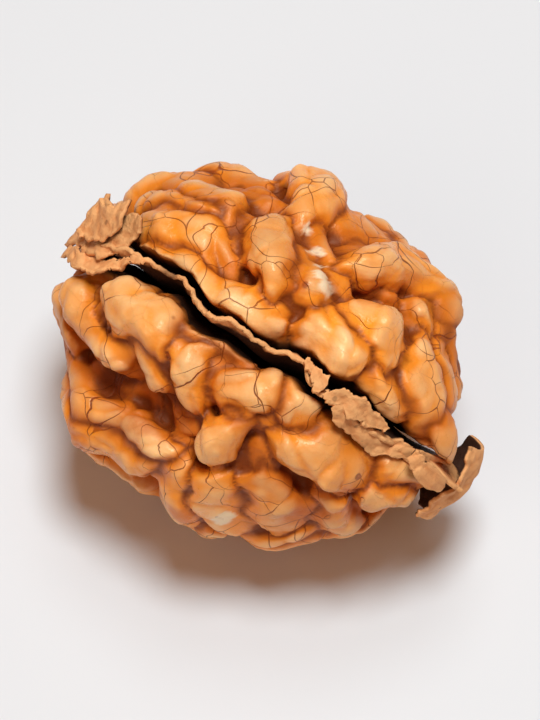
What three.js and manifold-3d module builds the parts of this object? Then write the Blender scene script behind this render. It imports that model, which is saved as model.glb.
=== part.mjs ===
// A shelled walnut kernel, whole: two folded halves grown together at one small bridge, with the papery
// partition of the shell still held in the fissure between them. Millimetres, +Z up, resting on low folds.
//
// The kernel is laid out in its own frame first: X along its length, Y across the fissure from the near
// half to the far half, Z up the fissure. It is rolled onto its side about X at the very end.

import * as THREE from 'three';
import { mergeVertices } from 'three/addons/utils/BufferGeometryUtils.js';
import Module from 'manifold-3d';

const wasm = await Module();
wasm.setup();

// Driving dimensions
const HALF_LENGTH = 17.4;
const HALF_WIDTH = 14.3;
const HALF_DEPTH = 13.6;
const ROLL_DEG = 25.7;
const FLAT_DEPTH = 0.8;

// The flesh under the folds, and how finely the folds are laid on it
const CORE_SHARE = 0.81;
const BALL_STEP = 0.5;
const BODY_DETAIL = 20;
const FOLD_SPREAD = 1.32;
const FOLD_FALL = 2;
const SEAM_SHARPNESS = 3;
const SEAM_EASE = 0.25;

// The fissure: where its middle lies across the kernel, how that slants along it, and half its width at
// shares of the kernel's outline
const FISSURE_MIDDLE = 0.85;
const FISSURE_SLANT = -0.075;
const FISSURE_SIDES = 52;
const FISSURE_PROFILE = [
  [0.25, 0.7], [0.5, 0.7], [0.72, 0.75], [0.88, 1.0], [0.95, 1.2], [1.01, 1.5], [1.25, 3.6],
];

// The bridge of flesh that joins the halves, and the hole that the partition leaves round it
const BRIDGE = { along: -8.5, up: -1, radius: 2.8, length: 6, sides: 20 };
const BRIDGE_CLEARANCE = 0.7;

// The partition, a stiff brown paper: its rim lies just inside the kernel's outline, and reaches out under
// the crumpled flap at one end, under the torn flange, and at the tip, where it ends in a curled cap
const PAPER = 0.62;
const PAPER_LIFT = 1.0;
const RIM_FROM = 0.85;
const RIM_SHARE = 0.975;
const RIM_RAGGED = [
  { size: 0.012, pace: 11, start: 0 },
  { size: 0.0096, pace: 23, start: 1.7 },
  { size: 0.006, pace: 31, start: 0 },
];
const RIM_REACHES = [
  { atDeg: 0, wideDeg: 12, reach: 0.16 },
  { atDeg: 30, wideDeg: 24, reach: 0.04 },
  { atDeg: 137, wideDeg: 16, reach: 0.09 },
];
const FLAP = { along: -12.7, round: 78, halfAlong: 3.9, halfRound: 21, rounded: 0.35 };
const FLAP_FOLDS = { lift: 0.5, crumple: 0.22, along: 7, skew: 2, round: 6, start: -1 };
const FLAP_RAGGED = [{ size: 0.13, pace: 3, start: 0.6 }, { size: 0.09, pace: 8, start: 0 }];
const FLANGE = { fromDeg: 62, toDeg: 8, start: 0.7, width: 2.5, inside: 0.4, outside: 1.6, torn: 0.66 };
const FLANGE_RAGGED = [{ size: 0.2, pace: 15, start: 0.5 }, { size: 0.14, pace: 33, start: 0 }];
const CAP = { reach: 19.4, middle: -1.0, far: 2.4, near: -4.6, top: 0.6, level: -1.5, bottom: -6.3 };
const CAP_CURL = { across: 0.085, above: 0.08, below: 0.17 };
const CAP_NARROWS = 0.38;
const CAP_RAGGED = [{ size: 0.3, pace: 9, start: 0 }];

// The ground that the low folds are cut flat by
const GROUND = { width: 80, depth: 20 };

// Nothing that grew is regular: slow waves carry every surface a little off its plan. Each has its size, how
// fast it runs along X, Y and Z, and where it starts.
const WAVES_X = [
  { size: 0.4, pace: [0, 0.62, 0], start: 0.4 },
  { size: 0.22, pace: [0.5, 0, 1.1], start: 2.1 },
];
const WAVES_Y = [
  { size: 0.4, pace: [0.48, 0, 0.31], start: 1.0 },
  { size: 0.2, pace: [1.2, 0, 0], start: 0.7 },
];
const WAVES_Z = [
  { size: 0.4, pace: [0.55, -0.35, 0], start: 2.4 },
  { size: 0.22, pace: [0.3, 1.15, 0], start: 0 },
];

// How near to each other two corners count as one
const SAME_CORNER = 1e-4;

// Folds of each half. Each has its height as a share of the kernel's outline, and stations along its crest:
// distance along the kernel, angle round it (0 across the far half, 90 up the fissure, 180 across the near
// half) and radius.
const NEAR_FOLDS = {
  heel: [0.91, [-13.4, 109, 1.45], [-11.4, 113, 1.4], [-8.7, 117, 1.2], [-6.6, 119, 0.9]],
  brow: [0.9, [-8.6, 97, 1.9], [-6.5, 99, 2.1], [-4.1, 100, 1.9]],
  browLobe: [0.88, [-4.4, 107, 1.6], [-3.4, 113, 1.3]],
  saddle: [0.9, [-0.4, 100, 1.5], [0.3, 105, 1.6], [0.8, 112, 1.2]],
  pinch: [0.88, [2.2, 99, 1.3], [2.4, 106, 1.1]],
  cheek: [0.9, [4.0, 103, 1.6], [6.3, 103, 1.8]],
  cheekEnd: [0.9, [8.3, 102, 1.6], [10.1, 104, 1.25]],
  lip: [0.89, [5.3, 111, 1.2], [8.2, 110, 1.1]],
  knob: [0.94, [6.3, 113.5, 0.9], [5.2, 117, 1.1], [3.9, 122.5, 1.75]],
  pad: [0.91, [10.3, 116, 1.8], [12.4, 117, 2.1], [14.2, 118, 1.8]],
  crest: [0.92, [-13.0, 149, 1.1], [-8.8, 147, 1.2], [-4.9, 143, 1.2], [-1.8, 139, 1.25], [0.0, 137, 1.1]],
  belly: [0.91, [-11.3, 159, 1.7], [-6.6, 155, 1.85], [-2.6, 150, 1.75], [-0.6, 146, 1.5]],
  corner: [0.9, [-15.6, 140, 1.3], [-13.6, 134, 1.2]],
  rimLeft: [0.9, [-16.0, 170, 1.4], [-14.2, 182, 1.5], [-11.4, 186, 1.5]],
  rimMiddle: [0.89, [-9.2, 180, 1.5], [-6.0, 178, 1.5], [-2.9, 175, 1.4]],
  keel: [0.9, [1.2, 140, 1.3], [1.8, 155, 1.6], [2.4, 170, 1.7], [3.4, 182, 1.5]],
  keelTwin: [0.89, [4.9, 141, 1.5], [5.8, 155, 1.7], [6.6, 172, 1.5]],
  valley: [0.89, [7.8, 136, 1.3], [9.4, 148, 1.5], [10.4, 160, 1.4], [11.8, 150, 1.2]],
  foot: [0.89, [8.2, 178, 1.4], [11.0, 175, 1.4]],
  hip: [0.9, [12.8, 140, 1.4], [13.2, 158, 1.5], [13.8, 176, 1.4]],
  flank: [0.95, [15.4, 134, 1.5], [16.6, 152, 1.6], [16.9, 180, 1.5]],
  tipFold: [0.95, [16.0, 112, 1.3], [17.1, 130, 1.4], [17.2, 200, 1.4]],
  seed: [0.84, [8.3, 124, 1.1], [7.4, 131, 1.1]],
  pit: [0.8, [0.9, 124, 1.3], [0.6, 132, 1.2]],
};
const FAR_FOLDS = {
  wedge: [0.88, [-10.8, 64, 1.5], [-8.2, 65, 1.8], [-5.0, 65, 1.7], [-2.6, 64, 1.1]],
  rail: [0.9, [-10.4, 78, 1.1], [-6.9, 79, 1.4], [-2.9, 79, 1.5], [0.7, 78, 1.5], [3.4, 77, 1.3]],
  slope: [0.89, [-13.2, 44, 1.2], [-9.0, 52, 1.4], [-5.8, 55, 1.3]],
  slopeEnd: [0.89, [-9.4, 37, 1.4], [-6.4, 46, 1.4], [-4.2, 53, 1.1]],
  shoulder: [0.89, [-15.8, 25, 1.2], [-14.0, 20, 1.4], [-11.8, 22, 1.4]],
  cap: [0.9, [-11.2, 5, 1.5], [-8.8, 8, 1.5], [-6.6, 10, 1.3]],
  wedgeTip: [0.87, [-3.4, 50, 1.25], [-2.6, 57, 1.1]],
  crown: [0.92, [-4.6, 2, 1.6], [-2.2, 10, 1.9], [-0.8, 25, 1.8], [-0.2, 39, 1.3]],
  hollow: [0.84, [-8.6, 20, 1.2], [-5.8, 27, 1.1], [-3.6, 36, 1.1]],
  drop: [0.96, [-1.0, 50, 1.35], [0.8, 58, 1.55], [2.4, 65, 1.25]],
  ribbon: [0.89, [1.8, 50, 1.2], [3.7, 57, 1.5], [5.5, 63, 1.6]],
  scar: [0.89, [2.0, 37, 1.05], [4.4, 45, 1.15], [6.6, 54, 1.15]],
  notch: [0.89, [2.3, 22, 1.2], [3.4, 10, 1.3], [5.0, 2, 1.2]],
  bank: [0.86, [4.3, 31, 1.1], [5.6, 18, 1.1]],
  arch: [0.92, [6.2, 42, 1.5], [7.2, 27, 1.7], [8.6, 13, 1.9], [10.4, 6, 1.9], [12.4, 4, 1.6]],
  dell: [0.84, [8.8, 35, 1.2], [10.6, 31, 1.2]],
  ledge: [0.88, [12.0, 27, 1.4], [13.6, 26, 1.3]],
  globe: [0.92, [7.2, 75, 1.6], [8.6, 74, 2.1], [9.8, 74, 1.8]],
  globeTwin: [0.92, [9.4, 59, 1.6], [10.8, 57, 2.0], [11.8, 58, 1.7]],
  bead: [0.9, [12.0, 75, 1.25], [13.3, 74, 1.35], [14.5, 74, 1.3]],
  facet: [0.92, [14.2, 42, 1.5], [15.4, 54, 1.8], [16.3, 64, 1.5]],
  corner: [0.91, [15.0, 22, 1.4], [16.2, 20, 1.5], [16.8, 60, 1.2]],
  rim: [0.9, [13.8, 10, 1.3], [15.0, 350, 1.3]],
};

// Folds that only one side has: the far half's tip, and the three that the kernel lies on, round its weight
const LOW_FOLDS = {
  farTip: [0.96, [16.5, 62, 1.4], [17.2, 84, 1.4]],
  frontFoot: [0.96, [5.2, 242, 2.2], [6.8, 246, 2.2]],
  leftFoot: [0.99, [-5.8, 223, 2.2], [-4.2, 225, 2.2]],
  backFoot: [1.02, [-5.4, 261, 2.1], [-3.8, 259, 2.1]],
};

// A point of the kernel's plain outline, brought in or out to a share of its size.
function onKernel(along, roundDeg, share) {
  const girth = Math.sqrt(Math.max(0, 1 - (along / HALF_LENGTH) ** 2));
  const round = THREE.MathUtils.degToRad(roundDeg);
  return new THREE.Vector3(
    along,
    HALF_WIDTH * girth * Math.cos(round),
    HALF_DEPTH * girth * Math.sin(round),
  ).multiplyScalar(share);
}

// How far the fissure's middle lies towards the far half.
const fissureMiddle = (along) => FISSURE_MIDDLE + FISSURE_SLANT * along;

// Makes a solid of a closed three.js geometry, leaving out triangles that have shrunk to a line.
function solidOf(geometry) {
  const bare = new THREE.BufferGeometry().setAttribute('position', geometry.getAttribute('position'));
  if (geometry.index) bare.setIndex(geometry.index);
  const merged = mergeVertices(bare, SAME_CORNER);
  const corners = merged.index.array;
  const triangles = [];
  for (let i = 0; i < corners.length; i += 3) {
    const [a, b, c] = [corners[i], corners[i + 1], corners[i + 2]];
    if (a !== b && b !== c && c !== a) triangles.push(a, b, c);
  }
  return new wasm.Manifold(new wasm.Mesh({
    numProp: 3,
    vertProperties: merged.getAttribute('position').array,
    triVerts: new Uint32Array(triangles),
  }));
}

// Makes a three.js geometry of a solid.
function geometryOf(solid) {
  const mesh = solid.getMesh();
  return new THREE.BufferGeometry()
    .setAttribute('position', new THREE.BufferAttribute(new Float32Array(mesh.vertProperties), 3))
    .setIndex(new THREE.BufferAttribute(new Uint32Array(mesh.triVerts), 1));
}

// Moves every corner of a geometry to where move puts it.
function bend(geometry, move) {
  const position = geometry.getAttribute('position');
  const point = new THREE.Vector3();
  for (let i = 0; i < position.count; i += 1) {
    point.fromBufferAttribute(position, i);
    const moved = move(point);
    position.setXYZ(i, moved.x, moved.y, moved.z);
  }
  return geometry;
}

// Carries a point off its plan by the slow waves.
function grown(point) {
  const { x, y, z } = point;
  const carried = (waves) => waves.reduce((sum, { size, pace, start }) => (
    sum + size * Math.sin(pace[0] * x + pace[1] * y + pace[2] * z + start)
  ), 0);
  return new THREE.Vector3(x + carried(WAVES_X), y + carried(WAVES_Y), z + carried(WAVES_Z));
}

// Grows a geometry out of its plan and makes a solid of it.
function grownSolid(geometry) {
  return solidOf(bend(geometry, grown));
}

// One fold: a string of overlapping balls of changing radius along its stations.
function fold([share, ...stations]) {
  const curve = new THREE.CatmullRomCurve3(
    stations.map(([along, round]) => onKernel(along, round, share)),
  );
  const last = stations.length - 1;
  const steps = Math.ceil(curve.getLength() / BALL_STEP);
  return Array.from({ length: steps + 1 }, (_, i) => {
    const t = i / steps;
    const from = Math.min(Math.floor(t * last), last - 1);
    const radius = THREE.MathUtils.lerp(stations[from][2], stations[from + 1][2], t * last - from);
    return new THREE.Sphere(curve.getPoint(t), radius);
  });
}

// The same folds turned through the kernel's middle, for the side that it rests on.
const underside = ([share, ...stations]) => [
  share,
  ...stations.map(([along, round, radius]) => [-along, round + 180, radius]),
];

// A plate across the fissure, with half its thickness at shares of the kernel's outline.
function plate(profile, outline = () => 1) {
  const lower = profile.map(([share, half]) => new THREE.Vector2(share, -half));
  const upper = profile.map(([share, half]) => new THREE.Vector2(share, half)).reverse();
  const middle = profile[0][1];
  const section = [new THREE.Vector2(0, -middle), ...lower, ...upper, new THREE.Vector2(0, middle)];
  return bend(new THREE.LatheGeometry(section, FISSURE_SIDES), (p) => {
    const rim = THREE.MathUtils.smoothstep(Math.hypot(p.x, p.z), RIM_FROM, RIM_SHARE);
    const reach = THREE.MathUtils.lerp(1, outline(Math.atan2(p.z, p.x)), rim);
    const along = p.x * reach * HALF_LENGTH;
    return new THREE.Vector3(along, p.y + fissureMiddle(along), p.z * reach * HALF_DEPTH);
  });
}

// The bridge of flesh, or the hole round it.
function bridgePost(radius) {
  const post = new THREE.CylinderGeometry(radius, radius, BRIDGE.length, BRIDGE.sides);
  return grownSolid(post.translate(BRIDGE.along, fissureMiddle(BRIDGE.along), BRIDGE.up));
}

// A sheet of the paper whose middle surface is place(u, v), with u and v from 0 to 1.
function sheet(columns, rows, place) {
  const step = 0.01;
  return grownSolid(bend(new THREE.BoxGeometry(1, 1, 1, columns, rows, 1), (p) => {
    const [u, v] = [p.x + 0.5, p.y + 0.5];
    const across = place(u + step, v).sub(place(u - step, v));
    const up = place(u, v + step).sub(place(u, v - step));
    return place(u, v).addScaledVector(across.cross(up).normalize(), p.z * PAPER);
  }));
}

// How high a fold stands where a ray passes one of its balls: round at the crest, and sinking into the flesh.
function crestOver(ray, ball) {
  const abreast = ray.dot(ball.center);
  const aside = (ball.center.lengthSq() - abreast ** 2) / (ball.radius * FOLD_SPREAD) ** 2;
  return abreast > 0 && aside < 1 ? abreast + ball.radius * (1 - FOLD_FALL * aside) : 0;
}

// The kernel's height in a direction: the furthest fold or the core, with a soft seam where two folds meet.
function relief(ray, folds) {
  const core = CORE_SHARE / Math.hypot(ray.x / HALF_LENGTH, ray.y / HALF_WIDTH, ray.z / HALF_DEPTH);
  let sum = Math.exp(core * SEAM_SHARPNESS);
  folds.forEach((balls) => {
    const height = Math.max(...balls.map((ball) => crestOver(ray, ball)));
    if (height > 0) sum += Math.exp(height * SEAM_SHARPNESS);
  });
  return Math.log(sum) / SEAM_SHARPNESS;
}

// Lifts a point of the paper clear of the folds under it.
function liftedOff(point, folds, share = 1) {
  const clear = Math.max(point.length(), relief(point.clone().normalize(), folds) + PAPER_LIFT);
  return point.setLength(THREE.MathUtils.lerp(point.length(), clear, share));
}

// The height of a ragged edge's waves at a place along it.
const ragged = (waves, at) => waves.reduce((sum, { size, pace, start }) => (
  sum + size * Math.sin(pace * at + start)
), 0);

// How far the partition's rim reaches at an angle round it, 0 at the tip and 90 degrees up the fissure.
function rimReach(angle) {
  const bump = ({ atDeg, wideDeg, reach }) => (
    reach * Math.exp(-(((THREE.MathUtils.radToDeg(angle) - atDeg) / wideDeg) ** 2))
  );
  return RIM_REACHES.reduce((sum, each) => sum + bump(each), 1 + ragged(RIM_RAGGED, angle));
}

// The crumpled flap that lies over the kernel's left end, with a ragged outline.
function flapSheet(folds) {
  return sheet(11, 11, (u, v) => {
    const [a, b] = [2 * u - 1, 2 * v - 1];
    const x = a * Math.sqrt(1 - FLAP.rounded * b * b);
    const y = b * Math.sqrt(1 - FLAP.rounded * a * a);
    const reach = 1 + ragged(FLAP_RAGGED, Math.atan2(y, x)) * Math.hypot(x, y);
    const flat = onKernel(
      FLAP.along + FLAP.halfAlong * x * reach,
      FLAP.round - FLAP.halfRound * y * reach,
      CORE_SHARE,
    );
    const waves = Math.sin(FLAP_FOLDS.along * x + FLAP_FOLDS.skew * y)
      * Math.cos(FLAP_FOLDS.round * y + FLAP_FOLDS.start);
    const lift = FLAP_FOLDS.lift + FLAP_FOLDS.crumple * (1 + waves);
    const clear = liftedOff(flat, folds);
    return clear.setLength(clear.length() + lift);
  });
}

// The torn edge of the partition, bent over the near half beside the tip.
function flangeSheet(folds) {
  return sheet(22, 4, (u, v) => {
    const angle = THREE.MathUtils.degToRad(THREE.MathUtils.lerp(FLANGE.fromDeg, FLANGE.toDeg, u));
    const across = v * FLANGE.width * (FLANGE.torn + ragged(FLANGE_RAGGED, u));
    const along = HALF_LENGTH * RIM_SHARE * Math.cos(angle);
    const root = new THREE.Vector3(
      along,
      fissureMiddle(along) + FLANGE.start - across,
      HALF_DEPTH * RIM_SHARE * Math.sin(angle),
    );
    return liftedOff(root, folds, THREE.MathUtils.smoothstep(across, FLANGE.inside, FLANGE.outside));
  });
}

// The curled cap round the tip, like the bowl of a small spoon.
function capSheet(folds) {
  return sheet(12, 12, (u, v) => {
    const across = THREE.MathUtils.lerp(CAP.near, CAP.far, u);
    const narrow = CAP_NARROWS * (1 - Math.sin(Math.PI * u));
    const low = THREE.MathUtils.lerp(CAP.bottom, CAP.level, narrow);
    const up = THREE.MathUtils.lerp(low, CAP.top + ragged(CAP_RAGGED, u), v);
    const rise = up - CAP.level;
    const bowl = (rise > 0 ? CAP_CURL.above : CAP_CURL.below) * rise ** 2;
    const curl = CAP_CURL.across * (across - CAP.middle) ** 2 + bowl;
    return liftedOff(new THREE.Vector3(CAP.reach - curl, across, up), folds);
  });
}

function partitionSolid(folds) {
  const shares = [...FISSURE_PROFILE.slice(0, 4).map(([share]) => share), RIM_SHARE];
  const web = grownSolid(plate(shares.map((share) => [share, PAPER / 2]), rimReach))
    .subtract(bridgePost(BRIDGE.radius + BRIDGE_CLEARANCE));
  return wasm.Manifold.union([web, flapSheet(folds), flangeSheet(folds), capSheet(folds)]);
}

// Evens out a closed surface by taking each corner part of the way to the middle of its neighbours.
function eased(geometry, share) {
  const merged = mergeVertices(geometry, SAME_CORNER);
  const position = merged.getAttribute('position');
  const corners = merged.index.array;
  const sums = Array.from({ length: position.count }, () => ({ middle: new THREE.Vector3(), count: 0 }));
  const point = new THREE.Vector3();
  for (let i = 0; i < corners.length; i += 1) {
    const next = i % 3 === 2 ? i - 2 : i + 1;
    sums[corners[i]].middle.add(point.fromBufferAttribute(position, corners[next]));
    sums[corners[i]].count += 1;
  }
  sums.forEach(({ middle, count }, i) => {
    point.fromBufferAttribute(position, i).lerp(middle.divideScalar(count), share);
    position.setXYZ(i, point.x, point.y, point.z);
  });
  return merged;
}

function kernelSolid(folds) {
  const body = new THREE.IcosahedronGeometry(1, BODY_DETAIL).scale(HALF_LENGTH, HALF_WIDTH, HALF_DEPTH);
  body.deleteAttribute('normal');
  body.deleteAttribute('uv');
  bend(body, (p) => p.clone().normalize().multiplyScalar(relief(p.clone().normalize(), folds)));
  const fissure = grownSolid(plate(FISSURE_PROFILE)).subtract(bridgePost(BRIDGE.radius));
  return grownSolid(eased(body, SEAM_EASE)).subtract(fissure);
}

// Rolls a solid onto its side.
function rolled(solid) {
  return solidOf(geometryOf(solid).rotateX(THREE.MathUtils.degToRad(ROLL_DEG)));
}

function mesh(name, solid, material) {
  const made = new THREE.Mesh(geometryOf(solid), material);
  made.name = name;
  return made;
}

const shown = [...Object.values(NEAR_FOLDS), ...Object.values(FAR_FOLDS)];
const allFolds = [...shown, ...shown.map(underside), ...Object.values(LOW_FOLDS)].map(fold);
const kernel = rolled(kernelSolid(allFolds));
const partition = rolled(partitionSolid(allFolds));

// It sinks a little into the ground, which cuts its low folds flat, with its middle over the origin
const { min, max } = kernel.add(partition).boundingBox();
const place = [-(min[0] + max[0]) / 2, -(min[1] + max[1]) / 2, -(kernel.boundingBox().min[2] + FLAT_DEPTH)];
const ground = solidOf(
  new THREE.BoxGeometry(GROUND.width, GROUND.width, GROUND.depth).translate(0, 0, -GROUND.depth / 2),
);

const skin = new THREE.MeshStandardMaterial({ color: 0xc98544, roughness: 0.5, metalness: 0 });
const paper = new THREE.MeshStandardMaterial({ color: 0xa9744a, roughness: 0.8, metalness: 0 });

const walnut = new THREE.Group();
walnut.add(mesh('kernel', kernel.translate(place).subtract(ground), skin));
walnut.add(mesh('partition', partition.translate(place), paper));

export default walnut;
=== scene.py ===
import math

import bpy
import numpy as np
from bpy.props import FloatProperty, FloatVectorProperty, PointerProperty
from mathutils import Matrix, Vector, noise
from mathutils.bvhtree import BVHTree


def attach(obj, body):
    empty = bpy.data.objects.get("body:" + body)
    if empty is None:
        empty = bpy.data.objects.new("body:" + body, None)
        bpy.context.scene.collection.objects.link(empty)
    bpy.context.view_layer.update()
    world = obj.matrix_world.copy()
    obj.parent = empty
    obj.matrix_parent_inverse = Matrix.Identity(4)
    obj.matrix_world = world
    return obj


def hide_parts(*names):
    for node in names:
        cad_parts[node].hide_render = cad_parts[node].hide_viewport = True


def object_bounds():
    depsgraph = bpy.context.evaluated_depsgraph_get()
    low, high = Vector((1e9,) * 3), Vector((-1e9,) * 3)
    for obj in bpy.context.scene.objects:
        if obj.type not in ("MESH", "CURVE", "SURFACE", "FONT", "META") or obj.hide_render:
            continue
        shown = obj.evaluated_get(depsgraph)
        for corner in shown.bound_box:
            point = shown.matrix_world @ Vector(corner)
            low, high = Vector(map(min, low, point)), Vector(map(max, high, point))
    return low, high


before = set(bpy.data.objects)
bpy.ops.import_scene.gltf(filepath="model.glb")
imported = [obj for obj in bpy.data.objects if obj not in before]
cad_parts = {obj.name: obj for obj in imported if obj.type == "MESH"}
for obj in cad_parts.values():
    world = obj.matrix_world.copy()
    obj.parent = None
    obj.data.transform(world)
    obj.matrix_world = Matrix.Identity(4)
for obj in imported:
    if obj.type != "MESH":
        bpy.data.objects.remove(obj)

CAD_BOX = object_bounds()

bl_info = {
    "name": "Walnut Kernel",
    "version": (1, 0, 0),
    "blender": (4, 5, 0),
    "location": "3D View > Sidebar > Walnut",
    "description": "Folded flesh, veined skin and dry paper partition for a walnut kernel",
    "category": "Object",
}

# Millimetres of the kernel's own plan: X along it, Y across the fissure from the near half to the far half,
# Z up the fissure. The plan is rolled about X and moved to PLAN_ORIGIN of the frame.
MM = 0.001
HALF_LENGTH = 17.4
HALF_WIDTH = 14.3
HALF_DEPTH = 13.6
HALVES = np.array((HALF_LENGTH, HALF_WIDTH, HALF_DEPTH))
ROLL = math.radians(25.7)
ROLLED = np.array(((1, 0, 0), (0, math.cos(ROLL), -math.sin(ROLL)), (0, math.sin(ROLL), math.cos(ROLL))))
PLAN_ORIGIN = np.array((-1.268, -0.014, 14.174))

# Slow waves that carry every surface off its plan along X, Y and Z: the height of each in mm, how it turns
# over one mm along each axis, in radians, and where it starts
WAVES = (
    ((0.4, (0, 0.62, 0), 0.4), (0.22, (0.5, 0, 1.1), 2.1)),
    ((0.4, (0.48, 0, 0.31), 1.0), (0.2, (1.2, 0, 0), 0.7)),
    ((0.4, (0.55, -0.35, 0), 2.4), (0.22, (0.3, 1.15, 0), 0.0)),
)

# Flesh under the folds: its height between two folds as a share of the kernel's outline, how much higher it
# swells towards each fold, and how far from the seam it gets there
CORE_SHARE = 0.8
CORE_SWELL = 0.095
CORE_REACH = 2.2

# Valleys where the core sinks deeper: distance along the kernel, degrees round it and radius
CORE_DIPS = (
    (-8.6, 133, 2.2), (-5.0, 129, 2.3), (-1.6, 127, 2.2), (1.6, 131, 2.0), (7.6, 128, 1.6), (-5.0, 30, 2.2),
)
CORE_DIP = 0.06

# The groove along every seam between two folds, in millimetres
GROOVE_DEPTH = 0.28
GROOVE_REACH = 0.9

# How far the fuller folds sink into the core, as a share of the kernel's outline, how their round ends
# narrow (at this share of the last radius, to this share of it), and the radius of the very end
FOLD_SINK = 0.028
FOLD_END_AT = 0.7
FOLD_END_NARROWS = 0.72
FOLD_END_RADIUS = 0.08

# Uneven surfaces are layers of noise, each with its height, the size of its features in mm and its seed.
# The seams wander by the drift, and the lumps lie in cells that wander too.
DRIFT = 0.8
DRIFT_BROAD = (2.6, (1, 2, 3))
DRIFT_FINE = (0.9, (4, 5, 6))
DRIFT_FINE_SHARE = 0.3
LUMP_CELL = 3.0
LUMP_SEED = 5
LUMP_HEIGHT = 1.1
LUMP_MIDDLE = 0.75
LUMP_WANDER = 1.6
LUMP_STEEP = 1.5
LUMP_DRIFT = (3.0, (21, 22, 23))
SWELLS = ((0.6, 3.2, 31), (0.7, 1.5, 33))
GRIT = ((0.04, 0.9, 32),)
PATCH_RAGGED = ((0.5, 0.9, 51), (0.25, 0.35, 52))

# How many rounds of evening out give the close and the broad form that creases and hollows are read from,
# and even out the creases themselves
CLOSE_ROUNDS = 5
BROAD_ROUNDS = 50
CREASE_ROUNDS = 2

# The fissure: where its middle lies across the kernel, how that slants along it, and half the fissure's width
# at shares of the kernel's outline, which narrows towards the tip
FISSURE_MIDDLE = 0.85
FISSURE_SLANT = -0.075
FISSURE_SHARES = (0.0, 0.7, 0.85, 0.95, 1.02, 1.25)
FISSURE_HALVES = (0.4, 0.48, 0.95, 1.15, 1.35, 3.2)
FISSURE_NARROWS = 0.5
FISSURE_NARROWS_ALONG = (11, 16)
FISSURE_LENGTH = 46
FISSURE_DEPTH = 40
FISSURE_CELLS = (150, 130)
FISSURE_UNEVEN = ((0.15, 5.0, 11), (0.075, 2.0, 12))

# Where the skin inside the fissure is painted in near-black shade: how far from its middle, and how deep as a
# share of the outline
INNER_ASIDE = (2.0, 1.3)
INNER_DEEP = (0.95, 0.84)

# The bridge of flesh between the halves
BRIDGE_ALONG = -8.5
BRIDGE_UP = -1.0
BRIDGE_RADIUS = 2.8
BRIDGE_LENGTH = 4
BRIDGE_CLEARANCE = 0.5

# Edge length of the mesh in which core and folds grow together, in mm, and how much each mesh is smoothed
FIRST_GRAIN = 0.28
SMOOTH_FACTOR = 0.5
SMOOTH_ROUNDS = 2

# Folds of each half: height as a share of the kernel's outline, then stations along the crest, each with its
# distance along the kernel, degrees round it (0 across the far half, 90 up the fissure) and radius
NEAR_FOLDS = {
    "heel": (0.91, (-13.4, 109, 1.4), (-11.4, 113, 1.35), (-8.7, 117, 1.15), (-6.6, 119, 0.85)),
    "brow": (0.9, (-8.6, 97, 1.9), (-6.5, 99, 2.1), (-4.1, 100, 1.9)),
    "browLobe": (0.88, (-4.4, 107, 1.6), (-3.4, 113, 1.3)),
    "saddle": (0.9, (-0.4, 100, 1.5), (0.3, 105, 1.6), (0.8, 112, 1.2)),
    "pinch": (0.88, (2.2, 99, 1.3), (2.4, 106, 1.1)),
    "cheek": (0.9, (4.0, 103, 1.6), (6.3, 103, 1.8)),
    "cheekEnd": (0.9, (8.3, 102, 1.6), (10.1, 104, 1.25)),
    "lip": (0.89, (5.3, 111, 1.2), (8.2, 110, 1.1)),
    "knob": (0.94, (6.3, 113.5, 0.65), (5.2, 117, 0.85), (3.9, 122.5, 1.65)),
    "pad": (0.91, (10.3, 116, 1.8), (12.4, 117, 2.1), (14.2, 118, 1.8)),
    "crest": (
        0.925, (-13.0, 149, 1.0), (-8.8, 147, 1.1), (-4.9, 143, 1.15), (-1.8, 139, 1.2), (0.0, 137, 1.1),
    ),
    "belly": (0.91, (-11.3, 159, 1.7), (-6.6, 155, 1.9), (-2.6, 150, 1.8), (-0.6, 146, 1.5)),
    "corner": (0.9, (-15.6, 140, 1.3), (-13.6, 134, 1.2)),
    "rimLeft": (0.9, (-16.0, 170, 1.4), (-14.2, 182, 1.5), (-11.4, 186, 1.5)),
    "rimMiddle": (0.89, (-9.2, 180, 1.5), (-6.0, 178, 1.5), (-2.9, 175, 1.4)),
    "keel": (0.9, (1.2, 140, 1.3), (1.8, 155, 1.6), (2.4, 170, 1.7), (3.4, 182, 1.5)),
    "keelTwin": (0.89, (4.9, 141, 1.5), (5.8, 155, 1.7), (6.6, 172, 1.5)),
    "valley": (0.89, (7.8, 136, 1.3), (9.4, 148, 1.5), (10.4, 160, 1.4), (11.8, 150, 1.2)),
    "foot": (0.89, (8.2, 178, 1.4), (11.0, 175, 1.4)),
    "hip": (0.9, (12.8, 140, 1.4), (13.2, 158, 1.5), (13.8, 176, 1.4)),
    "flank": (0.95, (15.4, 134, 1.5), (16.6, 152, 1.6), (16.9, 180, 1.5)),
    "tipFold": (0.95, (16.0, 112, 1.3), (17.1, 130, 1.4), (17.2, 200, 1.4)),
    "seed": (0.84, (8.3, 124, 1.1), (7.4, 131, 1.1)),
    "pit": (0.8, (0.9, 124, 1.3), (0.6, 132, 1.2)),
    "sill": (0.885, (-2.6, 95, 1.15), (0.6, 95.5, 1.1), (3.4, 95, 1.0)),
}
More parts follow.
